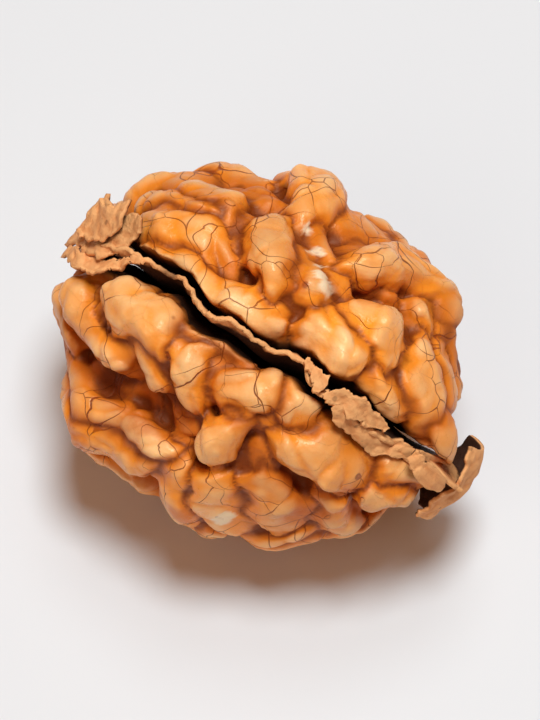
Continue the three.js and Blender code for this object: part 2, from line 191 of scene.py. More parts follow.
FAR_FOLDS = {
    "wedge": (0.88, (-10.8, 64, 1.5), (-8.2, 65, 1.85), (-5.0, 65, 1.75), (-2.6, 64, 1.1)),
    "rail": (0.9, (-10.4, 78, 1.1), (-6.9, 79, 1.4), (-2.9, 79, 1.5), (0.7, 78, 1.5), (3.4, 77, 1.3)),
    "slope": (0.89, (-13.2, 44, 1.2), (-9.0, 52, 1.4), (-5.8, 55, 1.3)),
    "slopeEnd": (0.89, (-9.4, 37, 1.4), (-6.4, 46, 1.4), (-4.2, 53, 1.1)),
    "shoulder": (0.89, (-15.8, 25, 1.2), (-14.0, 20, 1.4), (-11.8, 22, 1.4)),
    "cap": (0.9, (-11.2, 5, 1.5), (-8.8, 8, 1.5), (-6.6, 10, 1.3)),
    "wedgeTip": (0.86, (-3.4, 50, 1.25), (-2.6, 57, 1.1)),
    "crown": (0.92, (-4.6, 2, 1.6), (-2.2, 10, 1.9), (-0.8, 25, 1.8), (-0.2, 39, 1.3)),
    "hollow": (0.84, (-8.6, 20, 1.2), (-5.8, 27, 1.1), (-3.6, 36, 1.1)),
    "drop": (0.96, (-1.0, 50, 1.35), (0.8, 58, 1.55), (2.4, 65, 1.25)),
    "ribbon": (0.89, (1.8, 50, 1.2), (3.7, 57, 1.5), (5.5, 63, 1.6)),
    "scar": (0.89, (2.0, 37, 1.05), (4.4, 45, 1.15), (6.6, 54, 1.15)),
    "notch": (0.89, (2.3, 22, 1.2), (3.4, 10, 1.3), (5.0, 2, 1.2)),
    "bank": (0.86, (4.3, 31, 1.1), (5.6, 18, 1.1)),
    "arch": (0.92, (6.2, 42, 1.5), (7.2, 27, 1.7), (8.6, 13, 1.9), (10.4, 6, 1.9), (12.4, 4, 1.6)),
    "dell": (0.84, (8.8, 35, 1.2), (10.6, 31, 1.2)),
    "ledge": (0.88, (12.0, 27, 1.4), (13.6, 26, 1.3)),
    "globe": (0.92, (7.2, 75, 1.6), (8.6, 74, 2.1), (9.8, 74, 1.8)),
    "globeTwin": (0.92, (9.4, 59, 1.6), (10.8, 57, 2.0), (11.8, 58, 1.7)),
    "bead": (0.9, (12.0, 75, 1.25), (13.3, 74, 1.35), (14.5, 74, 1.3)),
    "facet": (0.92, (14.2, 42, 1.5), (15.4, 54, 1.8), (16.3, 64, 1.5)),
    "corner": (0.91, (15.0, 22, 1.4), (16.2, 20, 1.5), (16.8, 60, 1.2)),
    "rim": (0.9, (13.8, 10, 1.3), (15.0, 350, 1.3)),
}
# Folds that only one side has: the far half's tip, and the three that the kernel lies on
LOW_FOLDS = {
    "farTip": (0.97, (16.5, 62, 1.4), (17.2, 84, 1.4)),
    "frontFoot": (0.96, (5.2, 242, 2.2), (6.8, 246, 2.2)),
    "leftFoot": (0.99, (-5.8, 223, 2.2), (-4.2, 225, 2.2)),
    "backFoot": (1.02, (-5.4, 261, 2.1), (-3.8, 259, 2.1)),
}

# Where the skin has come off, on the shown side and through the middle from there: distance along the kernel,
# degrees round it and radius. The core is the share of the radius where a patch is at its full strength.
PEELED = (
    (-11.5, 129, 1.1), (-12.4, 136, 0.9), (1.4, 41.5, 0.95), (2.6, 46, 1.0), (3.9, 51, 0.7), (5.2, 57, 0.9),
    (6.2, 61, 0.95), (-6.0, 14, 0.9), (6.4, 156, 1.0),
)
PEELED_CORE = 0.7

# Where the skin is tanned a deeper orange, in the same measures
TANNED = (
    (-4.8, 30, 3.0), (-8.0, 24, 2.0), (-7.0, 158, 2.6), (-3.0, 128, 2.6), (4.2, 64, 1.5), (9.5, 33, 1.9),
    (3.0, 160, 2.0), (10.5, 148, 1.8), (2.2, 103, 1.0),
)
TANNED_CORE = 0.2

# The partition's web: its rim as a share of the kernel's outline, how far it reaches out at degrees round the
# tip (at, wide, more), and how ragged it is, with features in radians
RIM_SHARE = 0.975
RIM_REACHES = ((0, 10, 0.155), (30, 24, 0.02), (137, 16, 0.05))
RIM_RAGGED = ((0.022, 0.11, 41), (0.016, 0.03, 42))

# The web leans towards the far half at one end and the near half at the other. Its loose outer part is
# wavy, which calms down towards the tip, where the fissure is narrow, and its inner part meanders a little.
# The rows of its mesh crowd towards the rim.
WEB_LEAN = 0.38
WEB_LEAN_TURNS = (5.0, 10.0)
WEB_LOOSE = (0.78, 1.0)
WEB_WAVES = ((0.4, 2.2, 43), (0.3, 0.8, 44), (0.12, 0.35, 45))
WEB_CALM = 0.85
WEB_CALMS = (12.5, 15.0)
WEB_MEANDER = 0.06
WEB_MEANDER_UP = 0.9
WEB_MEANDER_ALONG = 0.5
WEB_ROWS_OUT = 0.6

# Torn shreds of the rim: height as a share of the outline, then stations with their distance along the
# kernel and how far their far and near edges lie from the fissure's middle. The first three make the
# crumpled flap over the left end.
SHREDS = {
    "leaf": (
        0.99, (-16.3, 0.4, -2.4), (-15.3, 2.0, -2.1), (-13.8, 2.9, -1.5), (-12.2, 2.5, -0.8),
        (-10.9, 3.3, 0.1), (-9.6, 3.0, 1.7),
    ),
    "flake": (1.05, (-15.0, 0.9, -0.9), (-14.0, 2.4, -0.9), (-12.6, 3.1, 0.3), (-11.2, 3.9, 2.0)),
    "hem": (
        0.985, (-15.6, -2.7, -3.5), (-13.0, -1.3, -2.7), (-10.6, -0.4, -1.5), (-8.8, 0.25, -0.5),
        (-8.0, 0.2, 0.0),
    ),
    "flag": (1.0, (6.7, 0.7, 0.55), (7.7, 0.95, 0.1), (8.7, 1.0, -0.7), (9.0, 0.4, -0.3)),
    "ribbon": (
        1.0, (9.3, 0.1, -0.3), (10.0, 0.9, -0.5), (10.9, 0.75, -0.5), (11.5, 1.15, -0.7), (12.6, 0.9, -0.3),
        (13.3, 1.2, 0.2), (13.9, 0.9, 0.5),
    ),
    "tail": (
        0.98, (10.4, -0.4, -0.9), (11.3, -0.3, -1.75), (12.2, -0.6, -1.6), (13.2, 0.1, -1.2),
        (14.4, 0.2, -1.5), (15.6, 0.45, -0.9), (17.0, 0.5, -0.4),
    ),
    "barb": (1.07, (16.4, 0.3, -0.5), (17.4, 0.4, -1.3), (18.1, 0.2, -1.4), (18.5, -0.5, -0.9)),
}

# How their edges are torn, over this share of their width, and how they rise and fall, in shares of the
# outline. Each shred adds its own seed to these.
SHRED_TORN = ((0.34, 0.7, 0), (0.22, 0.25, 0))
SHRED_TORN_WIDTH = 0.2
SHRED_EDGES_APART = 3
SHRED_RAISED = ((0.035, 1.6, 1), (0.01, 0.5, 2))
SHRED_SEED = 80
SHRED_SEED_STEP = 5
SHRED_CLEAR = 0.12

# The curled cap at the tip
CUP_REACH = 19.2
CUP_NEAR = -4.4
CUP_FAR = 2.3
CUP_ACROSS = -1.0
CUP_TOP = 0.1
CUP_MIDDLE = -1.5
CUP_BOTTOM = -6.4
CUP_CURL_ACROSS = 0.085
CUP_CURL_ABOVE = 0.08
CUP_CURL_BELOW = 0.17
CUP_NARROWS = 0.38
CUP_TORN = ((0.6, 0.8, 71), (0.35, 0.3, 72))
CUP_CRUMPLED = ((0.25, 1.6, 73), (0.12, 0.6, 74))
CUP_CLEAR = 0.3

# Columns and rows of the sheets' meshes, and how their ridges and their lift off the flesh are evened out
WEB_CELLS = (560, 26)
CUP_CELLS = (64, 44)
SHRED_CELLS = (100, 14)
RIDGE_ROUNDS = 4
LIFT_ROUNDS = 6

# In metres: how far out is outside the kernel for sure, and how near two corners count as one
OUTSIDE = 0.04
SAME_CORNER = 0.002 * MM

# The skin's patterns, in features per metre
SKIN_CLOUDS = 230.0
SKIN_BLOTCHES = 90.0
SKIN_SPECKS = 700.0
SKIN_WRINKLES = 420.0
SKIN_PORES = 1500.0
SKIN_GLOSS = 600.0
VEIN_CELLS = 330.0
VEIN_WAVES = 85.0
VEIN_DRIFT = 180.0

# Where the skin's painted highlight on the crests and painted shade in the hollows, creases, low parts and
# along the seams start and where they are full: bent outwards or inwards in mm, height as a share of the
# outline, and distance from a seam in mm
CREST_BENT = (-0.05, -0.5)
HOLLOW_BENT = (0.08, 0.5)
CREASE_BENT = (0.03, 0.14)
SUNK_HEIGHT = (0.99, 0.87)
SUNK_FROM_SEAM = (0.9, 0.0)
STRIPE_FROM_SEAM = (0.36, 0.0)

# How strongly each tone and each painted shade is laid over the skin, and the tint between its blotches
TANNED_SHARE = 0.6
VEIN_SHARE = 0.88
SPECK_SHARE = 0.7
SUNK_SHARE = 0.7
CREASE_SHARE = 0.9
PEELED_SHARE = 0.8
BLOTCH_LIGHT = (1.08, 1.07, 1.04, 1)

# The same for the paper, with painted highlight on its ridges, painted shade in its folds, and painted shade
# inside the fissure and where it faces the kernel's middle squarely enough
PAPER_CLOUDS = 420.0
PAPER_STAINS = 190.0
PAPER_SPECKS = 1100.0
PAPER_FIBRES = 1300.0
RIDGE_BENT = (-0.03, 0.03)
INSIDE_HEIGHT = (0.97, 0.92)
INSIDE_FACING = (0.2, 0.75)
STAIN_SHARE = 0.35
DOT_SHARE = 0.4

# The photograph's viewing angle
VIEW_AZIMUTH = 33.7
VIEW_ELEVATION = 60.0

# The lamps: degrees round from the camera, degrees up, distance and width in metres, power in watts, colour
LAMPS = {
    "key_light": (60, 85, 0.5, 0.17, 2.25, (0.86, 0.96, 1.0)),
    "back_light": (170, 68, 0.5, 0.2, 0.4, (0.9, 0.97, 1.0)),
    "fill_light": (-35, 45, 0.6, 0.4, 0.5, (1.0, 0.9, 0.78)),
}
STUDIO_COLOUR = (1.0, 0.44, 0.18, 1)
STUDIO_STRENGTH = 0.17
FLOOR_WIDTH = 3
FLOOR_ROUGHNESS = 0.7
CAMERA_CLIP = 0.01


class KernelSettings(bpy.types.PropertyGroup):
    grain: FloatProperty(
        name="Mesh grain", description="Edge length of the flesh's mesh, in mm",
        default=0.27, min=0.2, max=0.6,
    )
    fullness: FloatProperty(
        name="Fullness", description="How much fuller the folds are than their stations say",
        default=1.3, min=0.8, max=1.5,
    )
    ripple: FloatProperty(
        name="Ripple", description="Height of the small lumps on the folds, in mm",
        default=0.24, min=0.0, max=0.6,
    )
    # Painted highlight: paler skin where the folds bulge out most
    crest_highlight_colour: FloatVectorProperty(
        name="Crest colour", description="Skin on the crests of the folds", subtype="COLOR",
        default=(1.0, 0.6, 0.28), min=0.0, max=1.0,
    )
    flesh_colour: FloatVectorProperty(
        name="Skin colour", description="Skin on the sides of the folds", subtype="COLOR",
        default=(0.98, 0.315, 0.026), min=0.0, max=1.0,
    )
    # Painted shade deep in the creases between the folds
    crease_shade_colour: FloatVectorProperty(
        name="Crease colour", description="Skin deep between the folds", subtype="COLOR",
        default=(0.17, 0.024, 0.001), min=0.0, max=1.0,
    )
    # Painted shade in the hollows among the folds and towards the seams
    sunk_shade_colour: FloatVectorProperty(
        name="Sunk colour", description="Skin in the hollows among the folds", subtype="COLOR",
        default=(0.48, 0.08, 0.002), min=0.0, max=1.0,
    )
    # Painted shade: near-black skin inside the fissure
    fissure_shade_colour: FloatVectorProperty(
        name="Inside colour", description="Skin inside the fissure", subtype="COLOR",
        default=(0.03, 0.008, 0.003), min=0.0, max=1.0,
    )
    peeled_colour: FloatVectorProperty(
        name="Peeled colour", description="Pale flesh where the skin has come off", subtype="COLOR",
        default=(1.0, 0.82, 0.56), min=0.0, max=1.0,
    )
    tanned_colour: FloatVectorProperty(
        name="Tanned colour", description="Skin in its deeper orange patches", subtype="COLOR",
        default=(0.6, 0.11, 0.006), min=0.0, max=1.0,
    )
    vein_colour: FloatVectorProperty(
        name="Vein colour", description="Thin branching veins and small specks in the skin", subtype="COLOR",
        default=(0.22, 0.02, 0.001), min=0.0, max=1.0,
    )
    blotch_tint: FloatVectorProperty(
        name="Blotch tint", description="What darkens the skin in broad soft blotches", subtype="COLOR",
        default=(0.82, 0.72, 0.6), min=0.0, max=1.0,
    )


class PartitionSettings(bpy.types.PropertyGroup):
    thickness: FloatProperty(
        name="Thickness", description="Thickness of the paper, in mm", default=0.34, min=0.1, max=0.6,
    )
    # Painted highlight on the paper's raised edges
    lit_colour: FloatVectorProperty(
        name="Lit colour", description="Paper on its raised edges", subtype="COLOR",
        default=(1.0, 0.48, 0.185), min=0.0, max=1.0,
    )
    # Painted shade: near-black paper inside the fissure and where it faces the flesh
    fissure_shade_colour: FloatVectorProperty(
        name="Inside colour", description="Paper inside the fissure", subtype="COLOR",
        default=(0.05, 0.018, 0.008), min=0.0, max=1.0,
    )
    stain_colour: FloatVectorProperty(
        name="Stain colour", description="Stained patches of the paper", subtype="COLOR",
        default=(0.5, 0.25, 0.1), min=0.0, max=1.0,
    )
    # The paper's deeper tone, with painted shade in its folds
    fold_shade_colour: FloatVectorProperty(
        name="Dry colour", description="Paper in its folds", subtype="COLOR",
        default=(0.72, 0.23, 0.06), min=0.0, max=1.0,
    )
    speck_colour: FloatVectorProperty(
        name="Speck colour", description="Small dark dots on the paper", subtype="COLOR",
        default=(0.06, 0.03, 0.015), min=0.0, max=1.0,
    )


class StageSettings(bpy.types.PropertyGroup):
    floor_colour: FloatVectorProperty(
        name="Floor colour", description="The pale surface that the kernel lies on", subtype="COLOR",
        default=(0.77, 0.77, 0.785), min=0.0, max=1.0,
    )
    lens: FloatProperty(
        name="Lens", description="Focal length of the camera, in mm", default=200.0, min=50.0, max=400.0,
        unit="CAMERA",
    )
    distance: FloatProperty(
        name="Distance", description="From the camera to the kernel", default=0.31, unit="LENGTH",
    )


def deselect_all():
    bpy.ops.object.select_all(action="DESELECT")


def pick(piece):
    deselect_all()
    piece.select_set(True)
    bpy.context.view_layer.objects.active = piece


def modified(piece, kind, **values):
    """Adds a modifier with these values to a piece and applies it."""
    pick(piece)
    modifier = piece.modifiers.new(kind.lower(), kind)
    for name, value in values.items():
        setattr(modifier, name, value)
    bpy.ops.object.modifier_apply(modifier=modifier.name)


def joined(pieces):
    """Joins pieces into the first one."""
    pick(pieces[0])
    for piece in pieces[1:]:
        piece.select_set(True)
    bpy.ops.object.join()
    return pieces[0]


def corners(piece):
    """The piece's vertices as an array, one row each."""
    found = np.empty(len(piece.data.vertices) * 3, np.float32)
    piece.data.vertices.foreach_get("co", found)
    return found.reshape(-1, 3).astype(float)


def normals(piece):
    found = np.empty(len(piece.data.vertices) * 3, np.float32)
    piece.data.vertex_normals.foreach_get("vector", found)
    return found.reshape(-1, 3).astype(float)


def place_corners(piece, points):
    piece.data.vertices.foreach_set("co", np.asarray(points, np.float32).ravel())
    piece.data.update()


def write_attribute(piece, name, values):
    layer = piece.data.attributes.new(name, "FLOAT", "POINT")
    layer.data.foreach_set("value", np.asarray(values, np.float32))


def eased(values, edges, rounds):
    """Values of a mesh's vertices, evened out over their neighbours."""
    count = np.bincount(edges.ravel(), minlength=len(values))[:, None]
    columns = values.reshape(len(values), -1)
    for _ in range(rounds):
        total = np.empty_like(columns)
        for k in range(columns.shape[1]):
            total[:, k] = np.bincount(edges[:, 0], columns[edges[:, 1], k], len(values))
            total[:, k] += np.bincount(edges[:, 1], columns[edges[:, 0], k], len(values))
        columns = total / np.maximum(count, 1)
    return columns.reshape(values.shape)


def edges_of(piece):
    found = np.empty(len(piece.data.edges) * 2, np.int32)
    piece.data.edges.foreach_get("vertices", found)
    return found.reshape(-1, 2)


def noise_at(points, scale, seed):
    """Smooth noise from about -1 to 1 at each point, with features about scale across."""
    shift = Vector((seed * 17.31, seed * 5.77, seed * 9.13))
    return np.array([noise.noise(Vector(p) / scale + shift) for p in points])


def layered(points, layers, seed=0):
    """Layers of noise at each point, added up, with their seeds counted from this one."""
    return sum(height * noise_at(points, scale, seed + own) for height, scale, own in layers)


def drift_at(points, scale, seeds):
    """A wandering step at each point, with features about scale across."""
    return np.column_stack([noise_at(points, scale, seed) for seed in seeds])


def lumps_at(points, cell, seed):
    """Rounded cells from 0 in the seams to 1 in the middle of each."""
    shift = Vector((seed * 3.71, seed * 8.23, seed * 2.57))
    lumps = []
    for point in points:
        near = noise.voronoi(Vector(point) / cell + shift)[0]
        seam = min(1.0, LUMP_STEEP * (near[1] - near[0]))
        lumps.append(1 - (1 - seam) ** 2)
    return np.array(lumps)


def smoothstep(low, high, values):
    x = np.clip((values - low) / (high - low), 0, 1)
    return x * x * (3 - 2 * x)


def on_kernel(along, round_deg, share):
    """A point of the kernel's plain outline, brought in or out to a share of its size."""
    girth = np.sqrt(np.maximum(0, 1 - (np.asarray(along) / HALF_LENGTH) ** 2))
    turn = np.radians(round_deg)
    point = np.stack(np.broadcast_arrays(
        along, HALF_WIDTH * girth * np.cos(turn), HALF_DEPTH * girth * np.sin(turn),
    ), -1)
    return point * np.asarray(share)[..., None]


def fissure_middle(along):
    """How far the fissure's middle lies towards the far half."""
    return FISSURE_MIDDLE + FISSURE_SLANT * along


def grown(points):
    """Nothing that grew is regular: slow waves carry every surface a little off its plan."""
    return points + np.column_stack([
        sum(height * np.sin(points @ turn + start) for height, turn, start in waves) for waves in WAVES
    ])


def into_frame(points):
    """Takes points of the plan to the frame: grown, rolled, set on the surface and in metres."""
    return (grown(points) @ ROLLED.T + PLAN_ORIGIN) * MM


def outline_share(points):
    """How far points of the frame lie from the kernel's middle, as a share of its plain outline."""
    unrolled = (points / MM - PLAN_ORIGIN) @ ROLLED
    return np.linalg.norm(unrolled / HALVES, axis=1)


def underside(fold):
    """The same fold turned through the kernel's middle, for the side that lies on the surface."""
    share, *stations = fold
    return (share, *((-along, turn + 180, radius) for along, turn, radius in stations))


def all_folds():
    shown = [*NEAR_FOLDS.values(), *FAR_FOLDS.values()]
    return [*shown, *map(underside, shown), *LOW_FOLDS.values()]


def from_seam(points, fullness):
    """How far points of the plan lie from the seams where two folds meet."""
    drift = drift_at(points, *DRIFT_BROAD) + DRIFT_FINE_SHARE * drift_at(points, *DRIFT_FINE)
    points = points + DRIFT * drift
    nearest = np.full(len(points), np.inf)
    second = np.full(len(points), np.inf)
    for share, *stations in all_folds():
        knots = [(on_kernel(along, turn, share - FOLD_SINK), radius) for along, turn, radius in stations]
        away = np.full(len(points), np.inf)
        for (start, start_radius), (end, end_radius) in zip(knots, knots[1:]):
            step = end - start
            part = np.clip((points - start) @ step / (step @ step), 0, 1)
            axis = np.linalg.norm(points - start - part[:, None] * step, axis=1)
            away = np.minimum(away, axis - (start_radius + (end_radius - start_radius) * part) * fullness)
        second = np.minimum(second, np.maximum(nearest, away))
        nearest = np.minimum(nearest, away)
    return second - nearest


def pillow(seam, reach):
    """0 at a seam, rising steeply and rounding off to 1 at this reach from it."""
    return 1 - (1 - np.minimum(1, seam / reach)) ** 2


def both_spots(along, turn):
    """A spot of the kernel's outline, and the one through its middle from there."""
    return on_kernel(along, turn, 1.0), on_kernel(-along, turn + 180, 1.0)


def add_core(fullness):
    """The flesh under the folds."""
    bpy.ops.mesh.primitive_ico_sphere_add(subdivisions=6, radius=1)
    core = bpy.context.object
    outline = corners(core) * HALVES
    swell = pillow(from_seam(outline * CORE_SHARE, fullness), CORE_REACH)
    share = CORE_SHARE + CORE_SWELL * swell
    for along, turn, radius in CORE_DIPS:
        for spot in both_spots(along, turn):
            share -= CORE_DIP * np.exp(-(np.linalg.norm(outline - spot, axis=1) / radius) ** 2)
    place_corners(core, outline * share[:, None])
    return core


def add_folds(fullness):
    """All the folds as tubes of changing radius with round ends, in one object."""
    bpy.ops.curve.primitive_bezier_curve_add()
    tubes = bpy.context.object
    data = tubes.data
    data.splines.clear()
    data.dimensions = "3D"
    data.bevel_depth = 1
    data.bevel_resolution = 4
    data.resolution_u = 7
    data.use_fill_caps = True
    for share, *stations in all_folds():
        points = [Vector(on_kernel(along, turn, share - FOLD_SINK)) for along, turn, _ in stations]
        radii = [radius * fullness for _, _, radius in stations]
        start = (points[0] - points[1]).normalized()
        end = (points[-1] - points[-2]).normalized()
        points = [
            points[0] + start * radii[0], points[0] + start * radii[0] * FOLD_END_AT, *points,
            points[-1] + end * radii[-1] * FOLD_END_AT, points[-1] + end * radii[-1],
        ]
        radii = [
            FOLD_END_RADIUS, radii[0] * FOLD_END_NARROWS, *radii,
            radii[-1] * FOLD_END_NARROWS, FOLD_END_RADIUS,
        ]
        spline = data.splines.new("BEZIER")
        spline.bezier_points.add(len(points) - 1)
        for knot, point, radius in zip(spline.bezier_points, points, radii):
            knot.co = point
            knot.radius = radius
            knot.handle_left_type = knot.handle_right_type = "AUTO"
    pick(tubes)
    bpy.ops.object.convert(target="MESH")
    return bpy.context.object


def add_fissure():
    """The plate of air between the halves, wavy and wider at its mouth."""
    columns, rows = FISSURE_CELLS
    bpy.ops.mesh.primitive_grid_add(x_subdivisions=columns, y_subdivisions=rows, size=1)
    plate = bpy.context.object
    modified(plate, "SOLIDIFY", thickness=1.0, offset=0.0)
    x, y, side = corners(plate).T
    x, z = x * FISSURE_LENGTH, y * FISSURE_DEPTH
    share = np.hypot(x / HALF_LENGTH, z / HALF_DEPTH)
    narrows = FISSURE_NARROWS * smoothstep(*FISSURE_NARROWS_ALONG, x)
    half = np.interp(share, FISSURE_SHARES, FISSURE_HALVES) * (1 - narrows)
    uneven = layered(np.column_stack((x, np.zeros_like(x), z)), FISSURE_UNEVEN)
    across = fissure_middle(x) + np.sign(side) * half * (1 + uneven)
    place_corners(plate, np.column_stack((x, across, z)))
    pick(plate)
    bpy.ops.object.mode_set(mode="EDIT")
    bpy.ops.mesh.select_all(action="SELECT")
    bpy.ops.mesh.normals_make_consistent(inside=False)
    bpy.ops.object.mode_set(mode="OBJECT")
    return plate


def add_bridge():
    bpy.ops.mesh.primitive_cylinder_add(
        vertices=32, radius=BRIDGE_RADIUS, depth=BRIDGE_LENGTH,
        location=(BRIDGE_ALONG, fissure_middle(BRIDGE_ALONG), BRIDGE_UP), rotation=(math.pi / 2, 0, 0),
    )
    bridge = bpy.context.object
    bpy.ops.object.transform_apply(location=True, rotation=True, scale=True)
    return bridge


def model_kernel(settings):
    """The two folded halves in millimetres of the plan."""
    flesh = joined([add_core(settings.fullness), add_folds(settings.fullness)])
    modified(flesh, "REMESH", mode="VOXEL", voxel_size=FIRST_GRAIN)
    modified(flesh, "SMOOTH", factor=SMOOTH_FACTOR, iterations=SMOOTH_ROUNDS)
    plate = add_fissure()
    modified(flesh, "BOOLEAN", operation="DIFFERENCE", object=plate, solver="MANIFOLD")
    bpy.data.objects.remove(plate)
    flesh = joined([flesh, add_bridge()])
    modified(flesh, "REMESH", mode="VOXEL", voxel_size=settings.grain)
    modified(flesh, "SMOOTH", factor=SMOOTH_FACTOR, iterations=SMOOTH_ROUNDS)
    return flesh


def carve_skin(flesh, settings):
    """Small lumps and dents on the folds, and what the skin's colours and its painted highlight and shade
    follow.
    """
    plan = corners(flesh)
    out = normals(flesh)
    edges = edges_of(flesh)
    lumps = lumps_at(plan + LUMP_WANDER * drift_at(plan, *LUMP_DRIFT), LUMP_CELL, LUMP_SEED)
    lift = settings.ripple * (LUMP_HEIGHT * (lumps - LUMP_MIDDLE) + layered(plan, SWELLS))
    lift += layered(plan, GRIT)
    seam = from_seam(plan, settings.fullness)
    lift -= GROOVE_DEPTH * (1 - pillow(seam, GROOVE_REACH))
    carved = plan + out * lift[:, None]
    close = eased(carved, edges, CLOSE_ROUNDS)
    broad = eased(carved, edges, BROAD_ROUNDS)
    crease = np.sum((close - carved) * out, axis=1)
    write_attribute(flesh, "crease", eased(crease, edges, CREASE_ROUNDS))
    write_attribute(flesh, "hollow", np.sum((broad - carved) * out, axis=1))
    write_attribute(flesh, "peeled", patched(carved, PEELED, PEELED_CORE))
    write_attribute(flesh, "tanned", patched(carved, TANNED, TANNED_CORE))
    write_attribute(flesh, "seam", seam)
    # Where the skin inside the fissure gets its painted shade
    aside = np.abs(plan[:, 1] - fissure_middle(plan[:, 0]))
    deep = smoothstep(*INNER_DEEP, np.linalg.norm(plan / HALVES, axis=1))
    write_attribute(flesh, "inner", smoothstep(*INNER_ASIDE, aside) * deep)
    place_corners(flesh, into_frame(carved))


def patched(plan, patches, core):
    """1 in the middle of every patch, to this share of its radius, and 0 beyond its ragged edge."""
    ragged = layered(plan, PATCH_RAGGED)
    inside = np.zeros(len(plan))
    for along, turn, radius in patches:
        for spot in both_spots(along, turn):
            away = np.linalg.norm(plan - spot, axis=1) / radius + ragged
            inside = np.maximum(inside, smoothstep(1.0, core, away))
    return inside


def settle(piece):
    """Finishes a piece in the frame, flat where it meets the surface."""
    points = corners(piece)
    points[:, 2] = np.maximum(points[:, 2], 0)
    write_attribute(piece, "height", outline_share(points))
    place_corners(piece, points)
    piece.data.polygons.foreach_set("use_smooth", [True] * len(piece.data.polygons))
    piece.data.update()


def hand_over(piece, name, node, material):
    """Names a finished piece, gives it its material, hangs it under the root body and hides the part it
    replaces.
    """
    piece.name = name
    piece.data.name = name
    piece.data.materials.clear()
    piece.data.materials.append(material)
    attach(piece, "root")
    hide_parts(node)


class Graph:
    """A short way to write a node tree."""

    def __init__(self, tree):
        self.tree = tree
        tree.nodes.clear()

    def add(self, kind, inputs=(), **values):
        made = self.tree.nodes.new(kind)
        for name, value in values.items():
            setattr(made, name, value)
        for key, value in dict(inputs).items():
            socket = made.inputs[key]
            if isinstance(value, bpy.types.NodeSocket):
                self.tree.links.new(value, socket)
            else:
                socket.default_value = value
        return made

    def maths(self, operation, a, b=0.0, c=0.0):
        return self.add("ShaderNodeMath", {0: a, 1: b, 2: c}, operation=operation).outputs[0]

    def mixed(self, factor, a, b, blend="MIX"):
        made = self.add(
            "ShaderNodeMix", {0: factor, 6: a, 7: b}, data_type="RGBA", blend_type=blend,
        )
        return made.outputs[2]

    def span(self, value, low, high, to_low=0.0, to_high=1.0):
        made = self.add(
            "ShaderNodeMapRange", {0: value, 1: low, 2: high, 3: to_low, 4: to_high},
            interpolation_type="SMOOTHSTEP",
        )
        return made.outputs[0]

    def noise(self, where, scale, detail=3.0, rough=0.55, output=0):
        made = self.add(
            "ShaderNodeTexNoise", {"Vector": where, "Scale": scale, "Detail": detail, "Roughness": rough},
        )
        return made.outputs[output]

    def attribute(self, name):
        return self.add("ShaderNodeAttribute", attribute_name=name).outputs["Fac"]

    def laid(self, colour, mask, share, tone):
        """A colour with a tone laid over it where a mask says, to this share."""
        return self.mixed(self.maths("MULTIPLY", mask, share), colour, (*tone, 1))


def group(name, inputs, outputs, fill):
    """A shader node group, built on first use by fill(graph, source), which returns its outputs by name."""
    if name in bpy.data.node_groups:
        return bpy.data.node_groups[name]
    tree = bpy.data.node_groups.new(name, "ShaderNodeTree")
    for title, kind, default in inputs:
        socket = tree.interface.new_socket(title, in_out="INPUT", socket_type=kind)
        if default is not None:
            socket.default_value = default
    for title, kind in outputs:
        tree.interface.new_socket(title, in_out="OUTPUT", socket_type=kind)
    graph = Graph(tree)
    source = graph.add("NodeGroupInput").outputs
    graph.add("NodeGroupOutput", fill(graph, source))
    return tree


def fill_veins(graph, source):
    """Thin branching lines that wander over the surface and fade in and out."""
    drift = graph.noise(source["Place"], VEIN_DRIFT, 2.0, output="Color")
    pull = graph.add("ShaderNodeVectorMath", {0: drift, 1: (-0.5, -0.5, -0.5)}, operation="ADD")
    moved = graph.add(
        "ShaderNodeVectorMath", {0: pull.outputs[0], 1: (0.003, 0.003, 0.003), 2: source["Place"]},
        operation="MULTIPLY_ADD",
    ).outputs[0]
    waves = graph.noise(source["Place"], VEIN_WAVES, 2.0, 0.5)
    cells = graph.add(
        "ShaderNodeTexVoronoi", {"Vector": moved, "Scale": VEIN_CELLS}, feature="DISTANCE_TO_EDGE",
    ).outputs["Distance"]
    lines = []
    for away, scale, width in (
        (graph.maths("ABSOLUTE", graph.maths("SUBTRACT", waves, 0.5)), 190.0, 0.003), (cells, 170.0, 0.02),
    ):
        fade = graph.noise(source["Place"], scale, 1.0)
        thin = graph.span(fade, 0.45, 0.62, 0.001, width)
        lines.append(graph.span(graph.maths("DIVIDE", away, thin), 0.2, 1.0, 1.0, 0.0))
    fine = graph.maths("MULTIPLY", lines[1], 0.8)
    return {"Mask": graph.maths("MAXIMUM", lines[0], fine)}


def fill_mottle(graph, source):
    """Soft cloudy change from 0 to 1."""
    cloud = graph.noise(source["Place"], source["Scale"], 4.0, 0.6)
    return {"Mask": graph.span(cloud, 0.32, 0.68)}


def fill_specks(graph, source):
    """Small scattered dark dots."""
    cells = graph.add("ShaderNodeTexVoronoi", {"Vector": source["Place"], "Scale": source["Scale"]})
    chance = graph.add("ShaderNodeSeparateColor", {0: cells.outputs["Color"]}).outputs[0]
    size = graph.span(chance, source["Sparse"], 1.0, 0.001, 0.3)
    return {"Mask": graph.span(graph.maths("DIVIDE", cells.outputs["Distance"], size), 0.5, 1.0, 1.0, 0.0)}


def make_groups():
    place = ("Place", "NodeSocketVector", None)
    mask = [("Mask", "NodeSocketFloat")]
    return {
        "veins": group("Veins", [place], mask, fill_veins),
        "mottle": group("Mottle", [place, ("Scale", "NodeSocketFloat", 200.0)], mask, fill_mottle),
        "specks": group(
            "Specks", [place, ("Scale", "NodeSocketFloat", 900.0), ("Sparse", "NodeSocketFloat", 0.9)],
            mask, fill_specks,
        ),
    }


def effect(graph, tree, place, **inputs):
    """The mask of a shared effect with its own values."""
    return graph.add("ShaderNodeGroup", {"Place": place, **inputs}, node_tree=tree).outputs[0]


